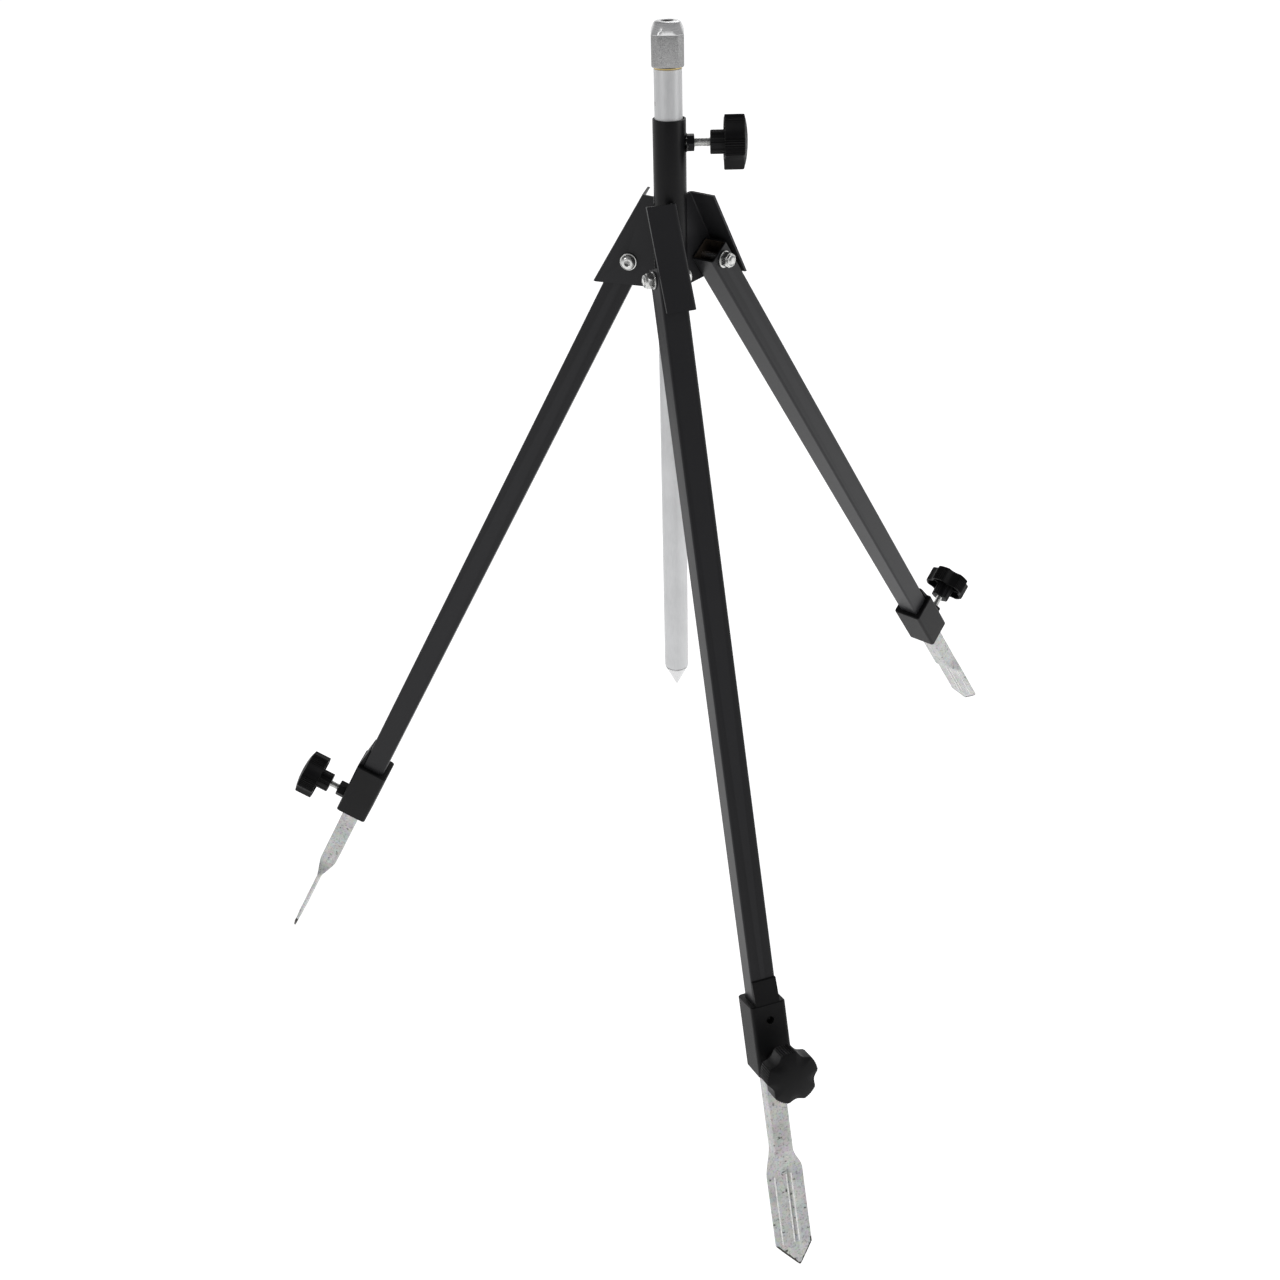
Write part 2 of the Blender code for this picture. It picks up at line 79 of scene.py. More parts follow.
def head_frame():
    turn = joints["knob_turn_head"]
    x = Vector(turn["axis"]).normalized()
    z = Vector(joints["pole_height"]["axis"]).normalized()
    y = z.cross(x).normalized()
    x = y.cross(z)
    origin = Vector(turn["pos_m"]) - (x * HEAD_KNOB_X + z * CLAMP_Z) * MM
    return axes(origin, x, y, z)


def leg_frame(name):
    fold = joints["leg_fold_" + name]
    y = -Vector(fold["axis"]).normalized()
    z = -Vector(joints["foot_slide_" + name]["axis"]).normalized()
    return axes(Vector(fold["pos_m"]), y.cross(z).normalized(), y, z)


HEAD = head_frame()
LEGS = {name: leg_frame(name) for name in "abc"}
TURN_Y = Matrix.Rotation(math.radians(90), 4, "Y")


def at(x, y, z):
    return Matrix.Translation(Vector((x, y, z)) * MM)


# ---------------------------------------------------------------- materials


def grey(level):
    return (level, level, level)


class Graph:
    """A small helper that adds nodes and wires them by name."""

    def __init__(self, name):
        self.material = bpy.data.materials.new(name)
        self.material.use_nodes = True
        self.tree = self.material.node_tree
        self.shader = self.tree.nodes["Principled BSDF"]
        self.coords = self.add("ShaderNodeTexCoord").outputs["Object"]

    def add(self, kind, values=None, **settings):
        node = self.tree.nodes.new(kind)
        for key, value in settings.items():
            setattr(node, key, value)
        for key, value in (values or {}).items():
            if isinstance(value, bpy.types.NodeSocket):
                self.tree.links.new(value, node.inputs[key])
            else:
                node.inputs[key].default_value = value
        return node

    def scaled(self, scale):
        return self.add("ShaderNodeMapping", {"Vector": self.coords, "Scale": scale}).outputs[0]

    def noise(self, scale, detail=3.0, rough=0.6, vector=None):
        return self.add("ShaderNodeTexNoise", {"Vector": vector or self.coords, "Scale": scale,
                                               "Detail": detail, "Roughness": rough}).outputs["Fac"]

    def ramp(self, fac, stops):
        node = self.add("ShaderNodeValToRGB", {"Fac": fac})
        ramp = node.color_ramp
        while len(ramp.elements) < len(stops):
            ramp.elements.new(0.5)
        for element, (place, colour) in zip(ramp.elements, stops):
            element.position = place
            element.color = (*colour, 1.0) if len(colour) == 3 else colour
        return node.outputs["Color"]

    def mix(self, fac, a, b, mode="MIX"):
        node = self.tree.nodes.new("ShaderNodeMix")
        node.data_type = "RGBA"
        node.blend_type = mode
        for key, value in ((0, fac), (6, a), (7, b)):
            if isinstance(value, bpy.types.NodeSocket):
                self.tree.links.new(value, node.inputs[key])
            else:
                node.inputs[key].default_value = value if key == 0 else (*value, 1.0)
        return node.outputs[2]

    def value(self, fac, low, high):
        node = self.add("ShaderNodeMapRange", {"Value": fac, "To Min": low, "To Max": high})
        return node.outputs[0]

    def pointed(self, low, high):
        """Marks sharp edges where low is under high, and creases where it is over it. The zinc looks darken
        the creases as painted shade.
        """
        edge = self.add("ShaderNodeNewGeometry").outputs["Pointiness"]
        ends = sorted(((low, 0.0), (high, 1.0)))
        return self.ramp(edge, [(value, grey(level)) for value, level in ends])

    def bump(self, height, strength, distance):
        node = self.add("ShaderNodeBump", {"Height": height, "Strength": strength, "Distance": distance})
        self.tree.links.new(node.outputs[0], self.shader.inputs["Normal"])

    def surface(self, **links):
        for key, value in links.items():
            socket = self.shader.inputs[key.replace("_", " ")]
            if isinstance(value, bpy.types.NodeSocket):
                self.tree.links.new(value, socket)
            else:
                socket.default_value = value
        return self.material


def powder_coat():
    g = Graph("black_powder_coat_look")
    cloud = g.noise(9.0, 4.0)
    peel = g.noise(900.0, 2.0)
    dust = g.ramp(g.noise(140.0, 6.0, 0.7), [(0.55, grey(0.0)), (0.78, grey(1.0))])
    # sharp edges are made lighter
    lighter_edges = g.pointed(0.53, 0.6)
    base = g.ramp(cloud, [(0.3, (0.003, 0.003, 0.0034)), (0.7, (0.0055, 0.0055, 0.006))])
    base = g.mix(g.value(dust, 0.0, 0.10), base, (0.04, 0.04, 0.04))
    base = g.mix(g.value(lighter_edges, 0.0, 0.30), base, (0.07, 0.07, 0.075))
    g.bump(peel, 0.10, 0.0004)
    return g.surface(Base_Color=base, Roughness=g.value(cloud, 0.30, 0.40), Specular_IOR_Level=0.16)


def black_plastic():
    g = Graph("black_plastic_look")
    cloud = g.noise(30.0, 3.0)
    grain = g.noise(1400.0, 2.0)
    base = g.ramp(cloud, [(0.3, (0.005, 0.005, 0.0053)), (0.75, (0.0085, 0.0085, 0.009))])
    g.bump(grain, 0.25, 0.0003)
    return g.surface(Base_Color=base, Roughness=g.value(grain, 0.42, 0.58), Specular_IOR_Level=0.16)


def galvanised():
    g = Graph("galvanised_look")
    cloud = g.noise(38.0, 5.0, 0.65)
    specks = g.noise(520.0, 4.0, 0.7)
    flakes = g.add("ShaderNodeTexVoronoi", {"Vector": g.coords, "Scale": 260.0}).outputs["Color"]
    pits = g.ramp(specks, [(0.36, grey(1.0)), (0.47, grey(0.0))])
    spots = g.ramp(g.noise(190.0, 3.0, 0.5), [(0.30, grey(1.0)), (0.36, grey(0.0))])
    base = g.ramp(cloud, [(0.3, (0.40, 0.405, 0.40)), (0.7, (0.58, 0.585, 0.575))])
    base = g.mix(0.16, base, flakes, "SOFT_LIGHT")
    base = g.mix(g.value(pits, 0.0, 0.60), base, (0.10, 0.10, 0.095))
    base = g.mix(g.value(spots, 0.0, 0.85), base, (0.035, 0.034, 0.032))
    # painted shade: the creases and grooves of the zinc are darkened
    crease = g.pointed(0.48, 0.40)
    base = g.mix(g.value(crease, 0.0, 0.75), base, (0.06, 0.058, 0.054))
    g.bump(specks, 0.45, 0.0005)
    return g.surface(Base_Color=base, Metallic=0.65, Roughness=g.value(cloud, 0.30, 0.42))


def cut_edge_and_bore_shade():
    g = Graph("cut_edge_look")
    cloud = g.noise(260.0, 4.0)
    base = g.ramp(cloud, [(0.3, (0.022, 0.020, 0.018)), (0.7, (0.085, 0.078, 0.070))])
    g.bump(cloud, 0.3, 0.0004)
    return g.surface(Base_Color=base, Metallic=0.4, Roughness=g.value(cloud, 0.5, 0.7))


def sandblasted():
    g = Graph("sandblasted_look")
    grains = g.noise(1300.0, 3.0, 0.7)
    cloud = g.noise(60.0, 4.0)
    base = g.ramp(grains, [(0.34, (0.15, 0.15, 0.15)), (0.62, (0.46, 0.46, 0.46))])
    base = g.mix(g.value(cloud, 0.0, 0.25), base, (0.36, 0.36, 0.36))
    g.bump(grains, 0.45, 0.0004)
    return g.surface(Base_Color=base, Metallic=0.5, Roughness=g.value(grains, 0.36, 0.52))


def bright_zinc():
    g = Graph("bright_zinc_look")
    cloud = g.noise(160.0, 4.0)
    fine = g.noise(1500.0, 2.0)
    tint = g.ramp(cloud, [(0.3, (0.50, 0.505, 0.50)), (0.7, (0.76, 0.76, 0.74))])
    # painted shade: the creases and hollows of the zinc parts are darkened
    hollow_shade = g.pointed(0.47, 0.38)
    tint = g.mix(g.value(hollow_shade, 0.0, 0.80), tint, (0.03, 0.03, 0.03))
    g.bump(fine, 0.10, 0.0002)
    return g.surface(Base_Color=tint, Metallic=0.92, Roughness=g.value(cloud, 0.18, 0.32))


def satin_tube():
    g = Graph("satin_tube_look")
    streaks = g.noise(1.0, 4.0, 0.6, g.scaled((700.0, 700.0, 9.0)))
    cloud = g.noise(22.0, 4.0)
    base = g.ramp(cloud, [(0.3, (0.60, 0.605, 0.61)), (0.7, (0.68, 0.685, 0.69))])
    base = g.mix(0.10, base, g.ramp(streaks, [(0.3, grey(0.2)), (0.7, grey(0.9))]), "OVERLAY")
    g.bump(streaks, 0.05, 0.0002)
    return g.surface(Base_Color=base, Metallic=0.25, Roughness=g.value(streaks, 0.40, 0.50))


def turned(name, low, high, rough):
    g = Graph(name)
    rings = g.noise(1.0, 3.0, 0.6, g.scaled((20.0, 20.0, 2600.0)))
    base = g.ramp(rings, [(0.3, low), (0.7, high)])
    g.bump(rings, 0.12, 0.0002)
    return g.surface(Base_Color=base, Metallic=0.6, Roughness=g.value(rings, rough, rough + 0.12))


def bare_steel():
    g = Graph("bare_steel_look")
    cloud = g.noise(90.0, 5.0)
    base = g.ramp(cloud, [(0.3, (0.05, 0.036, 0.026)), (0.7, (0.13, 0.10, 0.075))])
    g.bump(cloud, 0.2, 0.0004)
    return g.surface(Base_Color=base, Metallic=0.5, Roughness=g.value(cloud, 0.5, 0.75))


def nylon():
    g = Graph("nylon_look")
    cloud = g.noise(300.0, 3.0)
    base = g.ramp(cloud, [(0.3, (0.55, 0.56, 0.56)), (0.7, (0.72, 0.73, 0.73))])
    g.bump(cloud, 0.1, 0.0002)
    return g.surface(Base_Color=base, Roughness=0.45, Subsurface_Weight=0.05)


def weld_look():
    g = Graph("weld_look")
    cloud = g.noise(320.0, 4.0)
    base = g.ramp(cloud, [(0.3, (0.004, 0.004, 0.0045)), (0.75, (0.010, 0.010, 0.011))])
    g.bump(cloud, 0.35, 0.0006)
    return g.surface(Base_Color=base, Roughness=g.value(cloud, 0.38, 0.52))


LOOK = {
    "black": powder_coat(),
    "plastic": black_plastic(),
    "galvanised": galvanised(),
    "cut": cut_edge_and_bore_shade(),
    "blasted": sandblasted(),
    "zinc": bright_zinc(),
    "satin": satin_tube(),
    "turned": turned("turned_steel_look", (0.55, 0.55, 0.555), (0.80, 0.80, 0.80), 0.20),
    "nose": turned("turned_nose_look", (0.74, 0.74, 0.745), (0.93, 0.93, 0.93), 0.20),
    "brass": turned("brass_look", (0.50, 0.37, 0.13), (0.78, 0.62, 0.30), 0.20),
    "steel": bare_steel(),
    "nylon": nylon(),
    "weld": weld_look(),
}
SLOTS = dict.fromkeys(LOOK, "zinc_plate")
SLOTS.update(black="black_powder_coat", weld="black_powder_coat", plastic="black_plastic",
             satin="satin_tube", brass="brass")


# ---------------------------------------------------------------- building pieces


def place(name, bm, where, body, look, replaces=(), angle=32):
    """Makes one detailed piece that rides on a body, and stands for the CAD nodes it replaces."""
    bmesh.ops.remove_doubles(bm, verts=bm.verts, dist=1e-5)
    bmesh.ops.recalc_face_normals(bm, faces=bm.faces)
    bmesh.ops.scale(bm, vec=(MM, MM, MM), verts=bm.verts)
    bmesh.ops.transform(bm, matrix=where, verts=bm.verts)
    mesh = bpy.data.meshes.new(name)
    bm.to_mesh(mesh)
    bm.free()
    mesh.shade_smooth()
    mesh.set_sharp_from_angle(angle=math.radians(angle))
    mesh.materials.append(LOOK[look])
    piece = bpy.data.objects.new(name, mesh)
    bpy.context.scene.collection.objects.link(piece)
    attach(piece, body)
    if replaces:
        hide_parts(*replaces)
    return piece


def paint(piece, where, looks, choose):
    """Gives further looks to the faces that choose picks by their place, as 1, 2 and so on."""
    for look in looks:
        piece.data.materials.append(LOOK[look])
    local = where.inverted()
    for face in piece.data.polygons:
        face.material_index = choose((local @ face.center) / MM)


def loft(loops, ring=False):
    bm = bmesh.new()
    rows = [[bm.verts.new(point) for point in loop] for loop in loops]
    pairs = list(zip(rows, rows[1:]))
    if ring:
        pairs.append((rows[-1], rows[0]))
    for low, high in pairs:
        count = max(len(low), len(high))
        for i in range(count):
            j = (i + 1) % count
            corners = [low[i % len(low)], low[j % len(low)], high[j % len(high)], high[i % len(high)]]
            corners = list(dict.fromkeys(corners))
            if len(corners) > 2:
                bm.faces.new(corners)
    if not ring:
        for end in (rows[0], rows[-1]):
            if len(end) > 2:
                bm.faces.new(end)
    return bm


def circle(radius, z, count=96, offset=0.0):
    if radius <= 0:
        return [(offset, 0.0, z)]
    angles = [2 * math.pi * i / count for i in range(count)]
    return [(offset + radius * math.cos(a), radius * math.sin(a), z) for a in angles]


def lathe(profile, count=96, ring=False, offset=0.0):
    return loft([circle(r, z, count, offset) for r, z in profile], ring)


def polygon_loop(flats, sides, z, count):
    points = []
    for i in range(count):
        a = 2 * math.pi * i / count
        sector = (a + math.pi / sides) % (2 * math.pi / sides) - math.pi / sides
        r = flats / 2 / math.cos(sector)
        points.append((r * math.cos(a), r * math.sin(a), z))
    return points


def trimmed_loop(flats, sides, reach, z, count, scale=1.0):
    """A polygon whose corners are cut back to a circle of radius reach."""
    loop = []
    for x, y, _ in polygon_loop(flats, sides, 0, count):
        share = min(1.0, reach / math.hypot(x, y)) * scale
        loop.append((x * share, y * share, z))
    return loop


def rounded_loop(x_low, x_high, y_low, y_high, radius, z, steps=6):
    radius = min(radius, (x_high - x_low) * 0.48, (y_high - y_low) * 0.48)
    corners = ((x_high - radius, y_high - radius), (x_low + radius, y_high - radius),
               (x_low + radius, y_low + radius), (x_high - radius, y_low + radius))
    points = []
    for quarter, (cx, cy) in enumerate(corners):
        for i in range(steps + 1):
            a = math.pi / 2 * (quarter + i / steps)
            points.append((cx + radius * math.cos(a), cy + radius * math.sin(a), z))
    return points


def thread(top, bottom, radius, pitch=1.25, depth=0.62, count=32, taper=2.0):
    """A helical screw thread: one long grid whose radius follows the pitch."""
    per = 8
    rows = int(round((top - bottom) / pitch * per))
    loops = [[(0.0, 0.0, top)]]
    for row in range(rows + 1):
        z = top - (top - bottom) * row / rows
        loop = []
        for i in range(count):
            a = 2 * math.pi * i / count
            wave = abs((z / pitch - i / count) % 1.0 * 2 - 1)
            fade = min(1.0, max(0.0, (z - bottom) / taper))
            r = radius - depth * min(1.0, max(0.0, (1 - wave) * 1.35 - 0.1)) - (1 - fade) * 0.7
            loop.append((r * math.cos(a), r * math.sin(a), z))
        loops.append(loop)
    loops.append([(0.0, 0.0, bottom)])
    return loft(loops)


def hex_nut(flats, height, bore, chamfer=0.9, count=72):
    tip = flats / math.sqrt(3)
    loops = [circle(bore + 0.5, 0, count)]
    low_end = [(0, chamfer), (chamfer * 0.25, chamfer * 0.55), (chamfer * 0.6, 0)]
    high_end = [(height - z, cut) for z, cut in reversed(low_end)]
    for z, cut in low_end + high_end:
        loops.append(trimmed_loop(flats, 6, tip - cut, z, count))
    loops += [circle(bore + 0.5, height, count), circle(bore, height - 0.5, count), circle(bore, 0.5, count)]
    return loft(loops, ring=True)


def bead(name, path, radius, body, where, seed=0.0):
    """A weld bead along a path: a lumpy tube with overlapping ripples."""
    points = [Vector(p) for p in path]
    dense = []
    for a, b in zip(points, points[1:]):
        steps = max(2, int((b - a).length / 0.45))
        dense += [a.lerp(b, i / steps) for i in range(steps)]
    dense.append(points[-1])
    loops = [[dense[0]]]
    for i, p in enumerate(dense[1:-1], 1):
        ahead = (dense[i + 1] - dense[i - 1]).normalized()
        side = ahead.cross(Vector((0.3, 0.5, 0.81))).normalized()
        up = side.cross(ahead)
        fade = min(1.0, i / 5, (len(dense) - 1 - i) / 5) ** 0.5
        swell = 1 + 0.16 * math.sin(i * 0.95 + seed) + 0.10 * math.sin(i * 0.23 + seed * 3)
        r = radius * swell * fade
        loops.append([p + (side * math.cos(t) + up * math.sin(t)) * r
                      for t in (2 * math.pi * k / 12 for k in range(12))])
    loops.append([dense[-1]])
    return place(name, loft(loops), where, body, "weld", angle=80)


# ---------------------------------------------------------------- pole, ring, coupler and point


def build_tube():
    top, bottom = TUBE_TOP, TUBE_BOTTOM
    tube = [(11.9, top), (12.3, top - 0.2), (12.5, top - 0.6), (12.5, bottom + 1.4), (12.3, bottom + 0.6),
            (11.6, bottom), (10.5, bottom), (10.5, top)]
    place("tube_shaft", lathe(tube, 128, True), HEAD, "pole", "satin", ["pole_tube"])
    turn = math.radians(-158)
    hole = at(12.42 * math.cos(turn), 12.42 * math.sin(turn), 144.0) @ Matrix.Rotation(turn, 4, "Z") @ TURN_Y
    # the hole is a shallow dish: its lip is bare steel, and its dark floor is painted shade standing for the
    # dark inside of the pole
    rim = [(0, -0.6), (1.25, -0.6), (1.25, 0.02), (1.5, 0.10), (1.5, 0.0), (1.3, -0.8), (0, -0.8)]
    place("tube_hole", lathe(rim, 24), HEAD @ hole, "pole", "steel")


def build_point():
    base, end_z = TUBE_BOTTOM - 0.3, -461.9
    neck_r, neck_z, end_r = 11.2, base - 2.4, 0.9
    point = [(0, base + 24), (10.2, base + 24), (10.2, base), (11.0, base), (11.8, base - 0.6),
             (11.75, base - 1.2), (11.35, base - 1.5), (11.35, base - 1.9), (neck_r, neck_z)]
    steps = 14
    for i in range(1, steps + 1):
        share = i / steps
        point.append((neck_r + (end_r - neck_r) * share, neck_z + (end_z - neck_z) * share))
    point += [(0.5, end_z - 0.6), (0, end_z - 0.8)]
    place("ground_point", lathe(point, 96), HEAD, "pole", "turned", ["pole_point"])


def build_coupler():
    ring = [(10.7, 173.0), (12.4, 173.0), (12.85, 173.25), (12.9, 173.6), (12.85, 173.95), (12.4, 174.2),
            (10.7, 174.2)]
    place("brass_band", lathe(ring, 128, True), HEAD, "pole", "brass", ["pole_ring"])

    count = 144
    flat, corner, bore = 14.25, 16.8, 5.25
    top = 211.5

    def body(z, shrink=0.0, reach=corner):
        return trimmed_loop(flat * 2, 4, reach, z, count, 1 - shrink / flat)

    loops = [[(0.0, 0.0, top - 26)], circle(4.4, top - 26, count)]
    turns, rows = 17, 4
    for i in range(turns * rows):
        z = top - 25 + i * 24 / (turns * rows)
        loops.append(circle(4.5 + 0.65 * (0, 0.8, 1.0, 0.2)[i % rows], z, count))
    loops += [circle(5.2, top - 0.9, count), circle(5.9, top - 0.1, count), circle(6.3, top, count)]
    dome = ((8.6, 0.1), (10.4, 0.4), (11.4, 0.9), (12.0, 1.6), (13.4, 4.2), (14.8, 6.8), (16.0, 9.0),
            (16.6, 10.0))
    loops += [body(top - down, 0.0, reach) for reach, down in dome]
    loops += [body(201.5, 0.15), body(201.2, 0.15), circle(9.0, 201.0, count)]
    nose = place("coupler_nose", loft(loops), HEAD, "pole", "nose", angle=24)
    # painted shade: the bore's faces get the dark cut-steel look, which stands for the shade inside it
    paint(nose, HEAD, ["cut"], lambda spot: 1 if math.hypot(spot.x, spot.y) < bore else 0)

    loops = [circle(9.2, 201.15, count), body(201.3, 0.5), body(200.9, 0.1), body(200.4), body(176.0),
             body(175.2, 0.35), body(174.6, 1.1), circle(10.4, 174.5, count), circle(10.2, 174.2, count),
             circle(10.2, 150.5, count), circle(9.4, 149.5, count)]
    place("coupler_block", loft(loops), HEAD, "pole", "blasted", ["pole_coupler"], angle=24)


# ---------------------------------------------------------------- sleeve, brackets and bolts


def build_sleeve():
    top, bottom = 130.5, -51.5
    outside = [(14.4, bottom), (14.85, bottom + 0.2), (15.0, bottom + 0.6), (15.0, top - 0.6),
               (14.85, top - 0.2), (14.4, top)]
    inside = [(13.6, top), (13.3, top - 0.4), (13.3, bottom + 0.3), (13.6, bottom)]
    place("clamp_sleeve", lathe(outside + inside, 128, True, 0.5), HEAD, "head", "black", ["head_sleeve"])
    spot = HEAD @ at(15.8, 0, CLAMP_Z) @ TURN_Y
    place("clamp_nut", hex_nut(13.6, 6.8, 4.2), spot, "head", "black", ["head_clamp_nut"])
    for k, start in enumerate((20, 140, 260)):
        path = []
        for turn in range(start, start + 95, 8):
            a = math.radians(turn)
            path.append((7.3 * math.cos(a), 7.3 * math.sin(a), 0.9 - 0.022 * abs(turn % 180 - 90)))
        bead(f"nut_weld_{k}", path, 1.0, "head", spot, k * 1.7)


def build_welds(name, side):
    for k, y in enumerate((-1.9, -5.6)):
        rim = math.sqrt(15.2 ** 2 - y ** 2)
        path = [(rim + 0.25, y, z) for z in range(-22, 58, 4)]
        bead(f"gusset_weld_{name}_{k}", path, 1.15, "head", side, k + ord(name))


def build_washer(label, where, node):
    profile = [(4.3, 0.15), (4.5, 0), (7.7, 0), (8.0, 0.25), (8.0, 1.3), (7.85, 1.5), (7.6, 1.6), (4.6, 1.6),
               (4.3, 1.4)]
    place(label, lathe(profile, 72, True), where, "head", "zinc", [node])


def build_bolt(name, where, length):
    count = 72
    shank = 3.95
    loops = [[(0.0, 0.0, 1.3)], polygon_loop(4.9, 6, 1.3, count), polygon_loop(5.0, 6, 4.0, count),
             circle(3.05, 4.35, count)]
    for i in range(9):
        a = math.pi / 2 * i / 8
        loops.append(circle(3.3 + 3.7 * math.sin(a), 0.7 + 3.68 * math.cos(a), count))
    loops += [circle(6.95, 0.15, count), circle(6.7, 0, count), circle(shank, 0, count),
              circle(shank, -28.0, count)]
    place("bolt_" + name, loft(loops), where, "head", "zinc", ["pivot_bolt_" + name], angle=40)
    place("bolt_thread_" + name, thread(-27.8, -length, 3.93), where, "head", "zinc", angle=50)


def build_lock_nut(name, where):
    count = 72
    flats = 13.0
    tip = flats / math.sqrt(3)
    loops = [circle(4.3, 0.4, count)]
    for z, cut in ((0, 0.9), (0.25, 0.5), (0.6, 0), (4.6, 0), (5.1, 0.5), (5.4, 0.9)):
        loops.append(trimmed_loop(flats, 6, tip - cut, z, count))
    collar = ((6.15, 5.5), (6.05, 6.9), (5.8, 7.45), (5.3, 7.7), (4.9, 7.6), (4.9, 6.4), (4.3, 6.4))
    loops += [circle(radius, z, count) for radius, z in collar]
    place("nyloc_" + name, loft(loops, ring=True), where, "head", "zinc", ["lock_nut_" + name], angle=30)
    insert = [(4.15, 5.6), (4.85, 5.6), (4.85, 7.0), (4.6, 7.2), (4.15, 7.2)]
    place("nyloc_insert_" + name, lathe(insert, 48, True), where, "head", "nylon")


def build_bracket(name):
    """The CAD bracket stays; this adds its welds, its bolt and what is on the bolt."""
    side = HEAD @ Matrix.Rotation(math.radians(AZIMUTH[name]), 4, "Z")
    build_welds(name, side)
    lay, out = Matrix.Rotation(math.radians(-90), 4, "X"), Matrix.Rotation(math.radians(90), 4, "X")
    washer = 1.9
    seat_y, tube_y = -2.2, -31.0
    head_y, nut_y = seat_y + washer, tube_y - washer
    build_washer("washer_head_side_" + name, side @ at(BOLT_X, seat_y, 0) @ lay, "head_washer_" + name)
    build_washer("washer_nut_side_" + name, side @ at(BOLT_X, tube_y, 0) @ out, "nut_washer_" + name)
    build_bolt(name, side @ at(BOLT_X, head_y, 0) @ lay, head_y - nut_y + 8.8)
    build_lock_nut(name, side @ at(BOLT_X, nut_y, 0) @ out)


# ---------------------------------------------------------------- knobs and clamp screws


def lobed(radius, depth, z, fine=0.0, count=360):
    """Round lobes with a scallop between each pair; fine is the depth of the serrations."""
    points = []
    pitch = 2 * math.pi / KNOB_LOBES
    lobe = 0.46
    for i in range(count):
        a = 2 * math.pi * i / count
        across = abs((a + pitch / 2) % pitch - pitch / 2) / (pitch / 2)
        dip = math.sin(math.pi / 2 * max(0.0, across - lobe) / (1 - lobe))
        r = radius - depth * dip
        if fine and across < lobe + 0.02:
            r -= fine * (0.5 - 0.5 * math.cos(a * 75))
        points.append((r * math.cos(a), r * math.sin(a), z))
    return points


def gear_hub(radius, z, count=360):
    """The hub's outline: ten flat ribs."""
    points = []
    for i in range(count):
        a = 2 * math.pi * i / count
        wave = math.cos(a * 10)
        r = radius - 0.75 * (0.5 - 0.5 * max(-1.0, min(1.0, wave * 3.5)))
        points.append((r * math.cos(a), r * math.sin(a), z))
    return points


def build_knob(name, node, body, where, size):
    count = 360
    rim, hub = 12.3 * size, 10.4 * size
    pocket, top = rim + 12.0 * size, rim + 18.0 * size
    wide, dome, depth = 24.0 * size, 3.0 * size, 3.7 * size
    loops = [
        [(0.0, 0.0, 15.0)], circle(4.3, 15.0, count), circle(4.3, 0.5, count), circle(4.9, 0, count),
        gear_hub(hub - 0.8, 0), gear_hub(hub - 0.2, 0.25), gear_hub(hub, 0.9), gear_hub(hub, pocket),
        lobed(wide - 3.2, depth, pocket), lobed(wide - 3.0, depth, rim + 0.4), lobed(wide - 2.7, depth, rim),
        lobed(wide - 0.9, depth, rim, 0.4), lobed(wide - 0.25, depth, rim + 0.25, 0.8),
        lobed(wide, depth, rim + 0.8, 1.0), lobed(wide, depth, top - 1.5, 1.0),
        lobed(wide - 0.12, depth, top - 0.8, 0.9), lobed(wide - 0.5, depth, top - 0.25, 0.5),
        lobed(wide - 1.2, depth, top + 0.02), lobed(wide - 3.0, depth * 0.98, top + dome * 0.14),
        lobed(wide * 0.80, depth * 0.7, top + dome * 0.34),
        lobed(wide * 0.66, depth * 0.3, top + dome * 0.58),
        lobed(wide * 0.5, depth * 0.08, top + dome * 0.77), circle(wide * 0.3, top + dome * 0.92, count),
        circle(wide * 0.12, top + dome * 0.985, count), [(0.0, 0.0, top + dome)],
    ]
    place(name, loft(loops), where, body, "plastic", [node], angle=26)
    inner, outer = hub - 0.3, wide - depth - 2.9
    for k in range(KNOB_LOBES):
        turn = Matrix.Rotation(math.radians(360 / KNOB_LOBES * (k + 0.5)), 4, "Z")
        rib = bmesh.new()
        bmesh.ops.create_cube(rib, size=1.0)
        bmesh.ops.scale(rib, vec=(outer - inner, 1.5, pocket - rim - 2.0), verts=rib.verts)
        bmesh.ops.bevel(rib, geom=rib.edges[:], offset=0.25, segments=2, affect="EDGES")
        spot = where @ turn @ at((inner + outer) / 2, 0, (pocket + rim + 2.0) / 2 - 0.05)
        place(f"{name}_rib_{k}", rib, spot, body, "plastic")


def build_screw(name, node, body, where, length):
    place(name, thread(14.2, -length, 3.95, taper=1.6), where, body, "zinc", [node], angle=55)


# ---------------------------------------------------------------- legs and feet


def ridge(y):
    """Height of the lines that the press leaves along the blade."""
    return sum(height * math.exp(-((y - middle) / width) ** 2) for middle, width, height in RIDGES)


def pressed_loop(x_low, x_high, y_low, y_high, radius, z, press=0.0, steps=6, count=56):
    """A rounded oblong whose long faces carry the pressed lines."""
    loop = rounded_loop(x_low, x_high, y_low, y_high, radius, z, steps)
    radius = min(radius, (x_high - x_low) * 0.48, (y_high - y_low) * 0.48)
    reach = y_high - y_low - 2 * radius
    inner, outer = [], []
    for i in range(1, count):
        y = y_low + radius + reach * i / count
        fade = min(1.0, i / 3, (count - i) / 3)
        outer.append((x_high + press * fade * ridge(y), y, z))
        inner.append((x_low - press * fade * ridge(y) * 0.6, y, z))
    inner.reverse()
    half = 2 * (steps + 1)
    return loop[:half] + inner + loop[half:] + outer


def foot_skin(share, z, shrink=0.0):
    """The lower tube's section, from square (share 0) to blade (share 1)."""
    ease = share * share * (3 - 2 * share)
    low = (FOOT_SIDE + BLADE_BACK) * ease - FOOT_SIDE
    high = FOOT_SIDE - (FOOT_SIDE - BLADE_FRONT) * ease
    side = FOOT_SIDE + (BLADE_SIDE - FOOT_SIDE) * ease
    return pressed_loop(low + shrink, high - shrink, shrink - side, side - shrink, 1.8 - min(shrink, 1.2), z,
                        max(0.0, share - 0.55) / 0.45)


